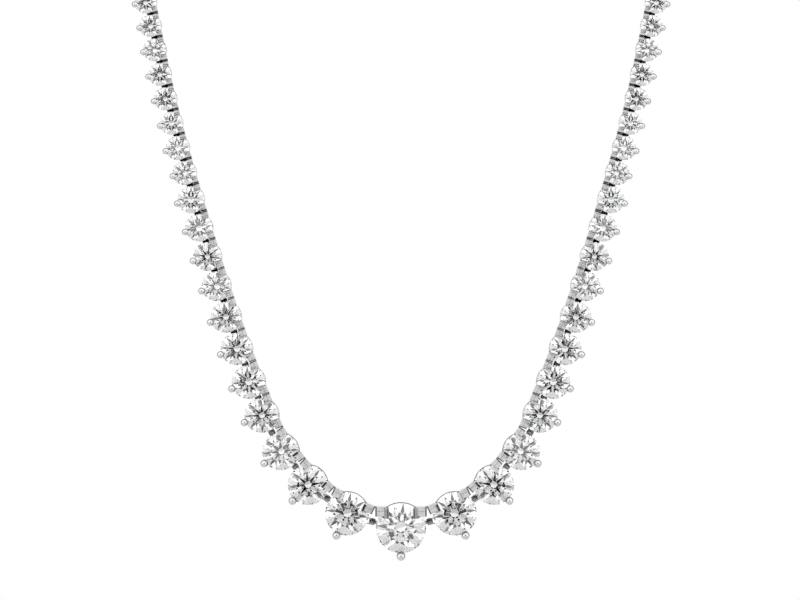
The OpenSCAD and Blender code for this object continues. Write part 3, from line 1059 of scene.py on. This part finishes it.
@dataclass(frozen=True)
class PolishWear:
    """Shader group that every finish uses: a cloudy mask, fine scratches as a bump, and a roughness."""

    name: str = "polish_wear"
    detail: float = 3.0
    stretch: Triple = (0.12, 1.0, 1.0)
    span: Span = (0.3, 0.7)
    height: float = 0.00002
    floats: tuple[tuple[str, float], ...] = (
        ("Cloud Scale", 600.0), ("Scratch Scale", 4000.0), ("Low", 0.05), ("High", 0.15), ("Bump", 0.1))

    def group(self) -> bpy.types.NodeTree:
        """The group, built once.

        Returns:
            Its node tree: Vector, Cloud Scale, Scratch Scale, Low, High and Bump in; Cloud,
            Roughness and Normal out.
        """
        if self.name in bpy.data.node_groups:
            return bpy.data.node_groups[self.name]
        tree = bpy.data.node_groups.new(self.name, "ShaderNodeTree")
        new = tree.interface.new_socket
        new("Vector", in_out="INPUT", socket_type="NodeSocketVector")
        for label, value in self.floats:
            new(label, in_out="INPUT", socket_type="NodeSocketFloat").default_value = value
        for label, kind in (("Cloud", "Float"), ("Roughness", "Float"), ("Normal", "Vector")):
            new(label, in_out="OUTPUT", socket_type=f"NodeSocket{kind}")
        into, out = add(tree, "NodeGroupInput"), add(tree, "NodeGroupOutput")
        cloud = add(tree, "ShaderNodeTexNoise", {"Detail": self.detail})
        scratch = add(tree, "ShaderNodeTexNoise")
        stretch = add(tree, "ShaderNodeVectorMath", {1: self.stretch}, operation="MULTIPLY")
        spread = add(tree, "ShaderNodeMapRange", dict(zip(("From Min", "From Max"), self.span)))
        bump = add(tree, "ShaderNodeBump", {"Distance": self.height})
        join(tree, (into, "Vector", cloud, "Vector"), (into, "Cloud Scale", cloud, "Scale"),
             (into, "Vector", stretch, 0), (stretch, 0, scratch, "Vector"),
             (into, "Scratch Scale", scratch, "Scale"), (cloud, "Fac", spread, "Value"),
             (into, "Low", spread, "To Min"), (into, "High", spread, "To Max"),
             (scratch, "Fac", bump, "Height"), (into, "Bump", bump, "Strength"),
             (cloud, "Fac", out, "Cloud"), (spread, "Result", out, "Roughness"),
             (bump, "Normal", out, "Normal"))
        return tree

    def placed(self, tree: bpy.types.NodeTree, values: dict[str, float]) -> bpy.types.Node:
        """The group set in a material on Object coordinates, with its values.

        Args:
            tree: The material's node tree.
            values: Values of the group's inputs by name.

        Returns:
            The group's node.
        """
        node = add(tree, "ShaderNodeGroup", values, node_tree=self.group())
        join(tree, (add(tree, "ShaderNodeTexCoord"), "Object", node, "Vector"))
        return node


@dataclass(frozen=True)
class Finish:
    """What every finish has: a name, two tones, its wear and the values of its shader."""

    name: str
    tones: tuple[Triple, Triple]
    wear: tuple[tuple[str, float], ...]
    values: tuple[tuple[str, float], ...] = ()
    tone_span: Span = (0.35, 0.65)

    def material(self) -> bpy.types.Material:
        """The material: a tone between the two by the cloud, and a roughness by it too.

        Returns:
            The material.
        """
        material = bpy.data.materials.new(self.name)
        material.use_nodes = True
        tree = material.node_tree
        shader, wear = tree.nodes["Principled BSDF"], PolishWear().placed(tree, dict(self.wear))
        ramp = add(tree, "ShaderNodeValToRGB")
        for stop, place, colour in zip(ramp.color_ramp.elements, self.tone_span, self.tones):
            stop.position, stop.color = place, (*colour, 1.0)
        join(tree, (wear, "Cloud", ramp, "Fac"), (ramp, "Color", shader, "Base Color"),
             (wear, "Roughness", shader, "Roughness"))
        for socket, value in self.values:
            shader.inputs[socket].default_value = value
        self.dress(tree, shader, wear, ramp)
        return material

    def dress(self, tree: bpy.types.NodeTree, shader: bpy.types.Node, wear: bpy.types.Node,
              tone: bpy.types.Node) -> None:
        """Adds what only this finish has, which is nothing here."""


@dataclass(frozen=True)
class WhiteGold(Finish):
    """Rhodium-bright white gold: clouded by wear, with hair-fine polishing lines, and painted shade that
    darkens it point by point.
    """

    name: str = "white_gold_polished"
    tones: tuple[Triple, Triple] = ((0.79, 0.79, 0.79), (0.88, 0.88, 0.875))
    wear: tuple[tuple[str, float], ...] = (
        ("Cloud Scale", 900.0), ("Scratch Scale", 5200.0), ("Low", 0.06), ("High", 0.16), ("Bump", 0.05))
    values: tuple[tuple[str, float], ...] = (("Metallic", 1.0),)
    # Near-black colour of the painted shade
    painted_shade_tone: Triple = (0.015, 0.015, 0.016)

    def dress(self, tree: bpy.types.NodeTree, shader: bpy.types.Node, wear: bpy.types.Node,
              tone: bpy.types.Node) -> None:
        """Adds the polishing lines, and painted shade: the clean tone mixed towards near black by the
        painted shade attribute.

        Args:
            tree: The material's node tree.
            shader: The Principled shader.
            wear: The wear group's node.
            tone: The node whose colour is the clean metal's.
        """
        # Painted shade: the clean tone darkened towards near black by each point's value
        recess = add(tree, "ShaderNodeAttribute", attribute_name="recess")
        shade = add(tree, "ShaderNodeMix", {MIX_B: (*self.painted_shade_tone, 1.0)}, data_type="RGBA")
        join(tree, (recess, "Fac", shade, MIX_FACTOR), (tone, "Color", shade, MIX_A),
             (shade, MIX_RESULT, shader, "Base Color"), (wear, "Normal", shader, "Normal"))


@dataclass(frozen=True)
class Diamond(Finish):
    """Colourless diamond: clear, sharply faceted, with the faintest cloud inside its tone."""

    name: str = "diamond_colourless"
    tones: tuple[Triple, Triple] = ((0.96, 0.97, 0.98), (1.0, 1.0, 1.0))
    wear: tuple[tuple[str, float], ...] = (("Cloud Scale", 400.0), ("Low", 0.0), ("High", 0.012))
    values: tuple[tuple[str, float], ...] = (("IOR", 2.417), ("Transmission Weight", 1.0))


@dataclass(frozen=True)
class FloorPaint(Finish):
    """Pale matt floor, barely mottled."""

    name: str = "pale_floor"
    tones: tuple[Triple, Triple] = ((0.86, 0.86, 0.86), (0.9, 0.9, 0.9))
    wear: tuple[tuple[str, float], ...] = (("Cloud Scale", 6.0), ("Low", 0.6), ("High", 0.75))


@dataclass(frozen=True)
class HingeLine:
    """The line that the link pins follow, from the middle of the front to the nape."""

    length: float = 458.0
    steps: int = 6

    def table(self) -> tuple[Array, Array]:
        """Runs and rows of the line.

        Between two points of the route it is the cubic that leaves each point along the chord of
        that point's neighbours (Catmull-Rom), in even steps, and the whole is scaled so that twice
        its run is the loop's length.

        Returns:
            The run at each row, and the rows of place and facing.
        """
        flip = np.tile(FLIP_X, 2)
        rows = np.concatenate([[ROUTE[1] * flip], ROUTE, [ROUTE[-2] * flip]])
        a, b, c, d = (rows[k:len(rows) - 3 + k][:, None] for k in range(4))
        t = (np.arange(self.steps) / self.steps)[None, :, None]
        line = b + t * (c - a + t * (2 * a - 5 * b + 4 * c - d + t * (3 * b - a - 3 * c + d))) / 2
        line = np.concatenate([line.reshape(-1, 6), ROUTE[-1:]])
        runs = np.concatenate([[0], np.cumsum(np.linalg.norm(np.diff(line[:, :3], axis=0), axis=1))])
        fit = self.length / 2 / runs[-1]
        return runs * fit, line * np.array([fit, fit, fit, 1, 1, 1])

    def at(self, s: Array | float) -> tuple[Array, Array]:
        """Place and facing at a run along the line.

        Args:
            s: The run, or several.

        Returns:
            Places and facings.
        """
        runs, rows = self.table()
        found = np.stack([np.interp(s, runs, rows[:, c]) for c in range(6)], -1)
        return found[..., :3], found[..., 3:]


@dataclass
class Necklace:
    """The whole necklace: where each link lies, and the pieces that dress each node."""

    line: HingeLine = field(default_factory=HingeLine)
    cut: Brilliant = field(default_factory=Brilliant)
    links: Linkwork = field(default_factory=Linkwork)
    clasp: Clasp = field(default_factory=Clasp)
    shade: JointPaintedShade = field(default_factory=JointPaintedShade)
    centre_d: float = 8.0
    stone_gap: float = 0.3
    hinge_share: float = 0.42
    own: int = 9
    girdle_steps: int = 3
    seed: int = 12
    turn_off: float = 11.0
    lean_off: float = 0.09
    centre_lean: Span = (0.03, -0.125)
    deeper_range: Span = (0.0, 0.013)
    small_deeper: float = 0.005
    front_deeper: tuple[float, ...] = (0.009, 0.006, 0.0, 0.0)

    def __post_init__(self) -> None:
        """Works out the layout, builds the materials and draws how each stone happened to be set."""
        self.side_n = len(STONE_SHARE) - 1
        self.small_d = self.centre_d * STONE_SHARE[-1]
        self.setting = Setting(self.cut, self.links, self.small_d)
        self.frames = self.layout()
        self.last = len(self.frames) - 2
        self.materials = {Slot.METAL: WhiteGold().material(), Slot.STONE: Diamond().material()}
        random, n = np.random.default_rng(self.seed), self.last + 1
        self.turns = random.uniform(-self.turn_off, self.turn_off, n)
        self.leans = random.uniform(-self.lean_off, self.lean_off, (n, 2))
        self.leans[0] = self.centre_lean
        self.leans /= np.array([self.stone_d(i) / 2 for i in range(n)])[:, None]
        self.deeper = random.uniform(*self.deeper_range, n)
        self.deeper[:len(self.front_deeper)] = self.front_deeper
        self.deeper[self.own + 1:] += self.small_deeper

    def stone_d(self, i: int) -> float:
        """Girdle diameter of link i."""
        return self.centre_d * STONE_SHARE[min(i, self.side_n)]

    def grade(self, i: int) -> Grade:
        """How finely link i is made."""
        return Grade.LARGE if i <= self.own else Grade.SMALL if i <= self.side_n else Grade.HIDDEN

    def layout(self) -> list[Frame]:
        """Frames of the links, outwards from the centre, and of the clasp, with the nape at the origin.

        Links up to the last share take their stone's diameter and a gap each of the hinge line,
        and the rest share what is left up to the clasp evenly. A link's stone lies beside the
        chord between its pins, by the hinge share of its diameter.

        Returns:
            The frames; the clasp's is the last.
        """
        pitch = self.centre_d * STONE_SHARE + self.stone_gap
        ends = np.cumsum(pitch) - pitch[0] / 2
        back_l = (self.line.length - self.clasp.length) / 2 - ends[-1]
        back_n = int(back_l // (self.small_d + self.stone_gap))
        ends = np.concatenate([ends, ends[-1] + back_l / back_n * np.arange(1, back_n + 1)])
        places, _ = self.line.at(ends)
        starts = np.concatenate([[places[0] * FLIP_X], places[:-1]])
        _, faces = self.line.at(np.concatenate([[0], (ends[1:] + ends[:-1]) / 2]))
        rows = list(zip(starts, places, faces, (self.stone_d(i) for i in range(len(ends)))))
        nape = self.line.at(self.line.length / 2)[1]
        rows.append((places[-1], places[-1] * FLIP_X, nape, self.small_d))
        made = []
        for start, stop, face, d in rows:
            f = Frame.of((start + stop) / 2, stop - start, face, float(np.linalg.norm(stop - start)))
            made.append(f.moved(-self.hinge_share * d * f.y))
        rest = made[-1].world(-AXIS_Z * (self.links.depth + self.clasp.thickness / 2))
        return [f.moved(-rest) for f in made]

    def pin_lift(self, i: int) -> float:
        """Height of link i's pins above its stone's middle, towards the inner edge."""
        return self.links.lift + self.links.lift_growth * (self.stone_d(i) - self.small_d)

    def link_point(self, i: int, side: int) -> Array:
        """Where link i would have its pin on a side by itself."""
        f = self.frames[i]
        return f.world(np.array([side * f.chord / 2, self.pin_lift(i), -self.links.depth]))

    def pin(self, i: int) -> Frame:
        """Frame of the pin between links i and i + 1, midway between what each would have."""
        a, b = self.frames[i], self.frames[i + 1]
        return Frame.of((self.link_point(i, 1) + self.link_point(i + 1, -1)) / 2, a.x + b.x, a.z + b.z)

    def reach(self, i: int, pin: Frame, side: int, beside: float) -> float:
        """How far metal beside a pin's middle reaches to link i's gallery ring or the clasp's end.

        Args:
            i: The link, or the clasp.
            pin: Frame of the pin.
            side: Side of the link that the pin is on, 1 or -1.
            beside: Distance of the metal from the pin's middle, along the pin.

        Returns:
            The distance from the pin to where the metal leaves the link.
        """
        lift = self.pin_lift(i)
        if i > self.last:
            half = self.clasp.width / 2
            x = self.box_l() / 2 - half + math.sqrt(half ** 2 - (lift + beside) ** 2) - self.links.solder
        else:
            r = self.setting.gallery_r(self.stone_d(i)) + self.setting.gallery_w / 2
            x = math.sqrt(r ** 2 - (lift + beside) ** 2)
        root = self.frames[i].world(np.array([side * x, lift, -self.links.depth]))
        return float(np.linalg.norm(pin.place - root))

    def box_l(self) -> float:
        """Length of the clasp's box between its forks."""
        return self.clasp.length - 2 * (self.links.eye_r + 2 * self.links.gap)

    def tongue(self, i: int) -> list[Shell]:
        """Link i's tongue and eye, kept out of its own stone."""
        pin = self.pin(i)
        return self.filed(i, self.links.tongue(pin, self.reach(i, pin, 1, 0.0), self.grade(i).steps))

    def fork(self, i: int) -> list[Shell]:
        """Link i's fork and pin, or the clasp's, kept out of its own stone.

        Args:
            i: The link, or the clasp.

        Returns:
            The fork's shells.
        """
        pin, half = self.pin(i - 1), self.links.fork_t / 2
        beside = half if i > self.last else half - self.links.ear_t
        return self.filed(i, self.links.fork(pin, self.reach(i, pin, -1, beside), self.grade(i).steps))

    def filed(self, i: int, shells: list[Shell]) -> list[Shell]:
        """Shells moved out of the room of link i's stone.

        Args:
            i: The link.
            shells: Shells in the necklace's coordinates.

        Returns:
            The shells.
        """
        if i > self.last:
            return shells
        f, clear = self.frames[i], self.setting.clear_of_stone(self.stone_d(i), False)
        return [s.changed(lambda p: f.world(clear(f.inside(p)))) for s in shells]

    def metal_of(self, i: int) -> Shell:
        """All metal of link i, in the necklace's coordinates.

        Args:
            i: The link.

        Returns:
            The metal; the centre has a tongue on both sides and no fork.
        """
        f, d = self.frames[i], self.stone_d(i)
        shells = [self.setting.made(d, f.chord, self.grade(i)).changed(f.world)]
        shells += self.tongue(i)
        shells += [s.mirrored() for s in self.tongue(0)] if i == 0 else self.fork(i)
        # Painted shade between the links
        return Shell.joined(shells).with_painted_shade(self.shade.mask(f, self.pin_lift(i), d))

    def stone_of(self, i: int) -> Shell:
        """Link i's stone, a facet nearly level, leaned a little as it happened to be set.

        It sinks by as much as its lean lifts the table's edge.

        Args:
            i: The link.

        Returns:
            The stone, in the necklace's coordinates.
        """
        f, d = self.frames[i], self.stone_d(i)
        a = math.radians(self.turns[i]) - math.atan2(f.x[2], f.x[0])
        spin = np.array([[math.cos(a), math.sin(a), 0], [-math.sin(a), math.cos(a), 0], [0, 0, 1]])
        face = f.z + self.leans[i] @ np.stack([f.x, f.y])
        sink = self.cut.table * d / 2 * np.linalg.norm(self.leans[i])
        seat = Frame.of(f.place - sink * f.z, np.cross(f.y, face), face)
        cut = replace(self.cut, pavilion=self.cut.pavilion + self.deeper[i])
        shell = cut.cut(d, 1 if self.grade(i) is Grade.HIDDEN else self.girdle_steps)
        return shell.changed(lambda p: seat.world(p @ spin))

    def piece(self, node: str, shell: Shell, slot: Slot) -> bpy.types.Object:
        """One dressed piece, put in place of its node.

        Args:
            node: The node that it stands for.
            shell: Its surface.
            slot: Its material slot.

        Returns:
            The piece.
        """
        mesh = shell.mesh(f"{node}_dressed", self.materials[slot])
        if slot is Slot.METAL:
            # The points' painted shade, by which the metal's material darkens its colour
            mesh.attributes.new("recess", "FLOAT", "POINT").data.foreach_set("value", shell.recess)
            mesh.shade_smooth()
            mesh.normals_split_custom_set_from_vertices(shell.normals().tolist())
        piece = put(mesh.name, mesh)
        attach(piece, "root")
        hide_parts(node)
        low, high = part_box(node)
        box = np.array([low, high]) / MM
        off = np.abs(np.stack([shell.points.min(0), shell.points.max(0)]) - box).max()
        LOG.info("%s: %d faces, box within %.2f mm", piece.name, len(mesh.polygons), off)
        return piece

    def run(self, side: Side, names: tuple[str, str], first: int, last: int) -> None:
        """The metal and the stones of some links of one side.

        Args:
            side: Which half.
            names: Names of the metal's and of the stones' node.
            first: First link.
            last: Last link.
        """
        for name, made, slot in zip(names, (self.metal_of, self.stone_of), (Slot.METAL, Slot.STONE)):
            shell = Shell.joined([made(i) for i in range(first, last + 1)])
            self.piece(name, shell.mirrored() if side is Side.LEFT else shell, slot)

    def build(self) -> None:
        """Every piece of the necklace, node by node."""
        self.run(Side.RIGHT, ("centre_setting", "centre_stone"), 0, 0)
        for side in Side:
            name = side.name.lower()
            for i in range(1, self.own + 1):
                self.run(side, (f"setting_{name}_{i}", f"stone_{name}_{i}"), i, i)
            self.run(side, (f"side_settings_{name}", f"side_stones_{name}"), self.own + 1, self.side_n)
            self.run(side, (f"back_settings_{name}", f"back_stones_{name}"), self.side_n + 1, self.last)
        ends = self.fork(self.last + 1)
        box = self.clasp.box(self.box_l(), self.links.depth).changed(self.frames[-1].world)
        self.piece("clasp", Shell.joined([box] + ends + [s.mirrored() for s in ends]), Slot.METAL)


@dataclass(frozen=True)
class Studio:
    """A white light tent with a pale floor, and a long lens in front at the height of the V's middle.

    A stop is an angle from the front axis in degrees and the tent's tone there.
    """

    frame_w: float = 128.0
    distance: float = 800.0
    sensor: float = 36.0
    clip: Span = (0.01, 20.0)
    aim: Triple = (-0.16, -84.754, -83.42)
    floor_at: Triple = (0.0, -40.0, -190.0)
    floor_r: float = 550.0
    floor_t: float = 4.0
    floor_turn_up: float = 6.0
    floor_power: int = 8
    floor_hub: float = 0.02
    floor_grid: tuple[int, int] = (24, 96)
    brightest: float = 1.5
    stops: tuple[Span, ...] = (
        (0, 0.0), (3.8, 0.0), (4.2, 0.57), (7.8, 0.57), (8.2, 0.0), (13, 0.0), (17, 0.04),
        (22, 0.13), (24, 0.95), (40, 0.85), (65, 0.8), (78, 1.0), (91, 1.0), (94, 0.07),
        (108, 0.07), (112, 0.33), (138, 0.36), (141, 0.67), (180, 0.67))

    def camera(self) -> None:
        """The camera, looking along +Y at the plane of the front stones."""
        data = bpy.data.cameras.new("camera")
        data.sensor_width = self.sensor
        data.lens = self.sensor * self.distance / self.frame_w
        data.clip_start, data.clip_end = self.clip
        camera = put("camera", data)
        camera.location = (np.array(self.aim) - self.distance * AXIS_Y) * MM
        camera.rotation_euler = (math.radians(90), 0, 0)
        bpy.context.scene.camera = camera

    def floor(self) -> None:
        """The floor: a disc with a turned-up edge, its height the eighth power of its radius."""
        rings, n = self.floor_grid
        r = np.linspace(self.floor_hub, 1, rings)[:, None] * np.ones(n)
        a = np.linspace(0, 2 * math.pi, n, endpoint=False)[None]
        top = np.stack([self.floor_r * r * np.cos(a), self.floor_r * r * np.sin(a),
                        self.floor_turn_up * r ** self.floor_power], -1) + self.floor_at
        shell = loft(np.concatenate([top, top[::-1] - self.floor_t * AXIS_Z]))
        mesh = shell.mesh("floor", FloorPaint().material())
        mesh.shade_smooth()
        floor = put("floor", mesh)

    def tent(self) -> None:
        """The tent's light, by the angle from the front axis: white cloth, with dark rings where it opens.

        Before the camera it is plain white.
        """
        world = bpy.data.worlds.new("light_tent")
        bpy.context.scene.world = world
        world.use_nodes = True
        tree = world.node_tree
        place, path, mix, ramp = (add(tree, f"ShaderNode{kind}")
                                  for kind in ("TexCoord", "LightPath", "MixShader", "ValToRGB"))
        dot = add(tree, "ShaderNodeVectorMath", {1: -AXIS_Y}, operation="DOT_PRODUCT")
        angle = add(tree, "ShaderNodeMath", operation="ARCCOSINE")
        turn = add(tree, "ShaderNodeMath", {1: math.pi}, operation="DIVIDE")
        plain = add(tree, "ShaderNodeBackground", {"Color": (1.0, 1.0, 1.0, 1.0)})
        elements = ramp.color_ramp.elements
        while len(elements) < len(self.stops):
            elements.new(0.5)
        for stop, (degrees, value) in zip(elements, self.stops):
            stop.position, stop.color = degrees / 180, (value, value, value, 1)
        cloth, seen = tree.nodes["Background"], tree.nodes["World Output"]
        cloth.inputs["Strength"].default_value = self.brightest
        join(tree, (place, "Generated", dot, 0), (dot, "Value", angle, 0), (angle, 0, turn, 0),
             (turn, 0, ramp, "Fac"), (ramp, "Color", cloth, "Color"), (path, "Is Camera Ray", mix, 0),
             (cloth, 0, mix, 1), (plain, 0, mix, 2), (mix, 0, seen, "Surface"))

    def build(self) -> None:
        """Camera, floor and light, and the plain rendering of their tones."""
        self.camera()
        self.floor()
        self.tent()
        bpy.context.scene.view_settings.view_transform = "Standard"


def main() -> None:
    """Builds the necklace and its studio."""
    logging.basicConfig(level=logging.INFO, format="%(name)s: %(message)s")
    Necklace().build()
    Studio().build()
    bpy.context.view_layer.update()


if __name__ == "__main__":
    main()
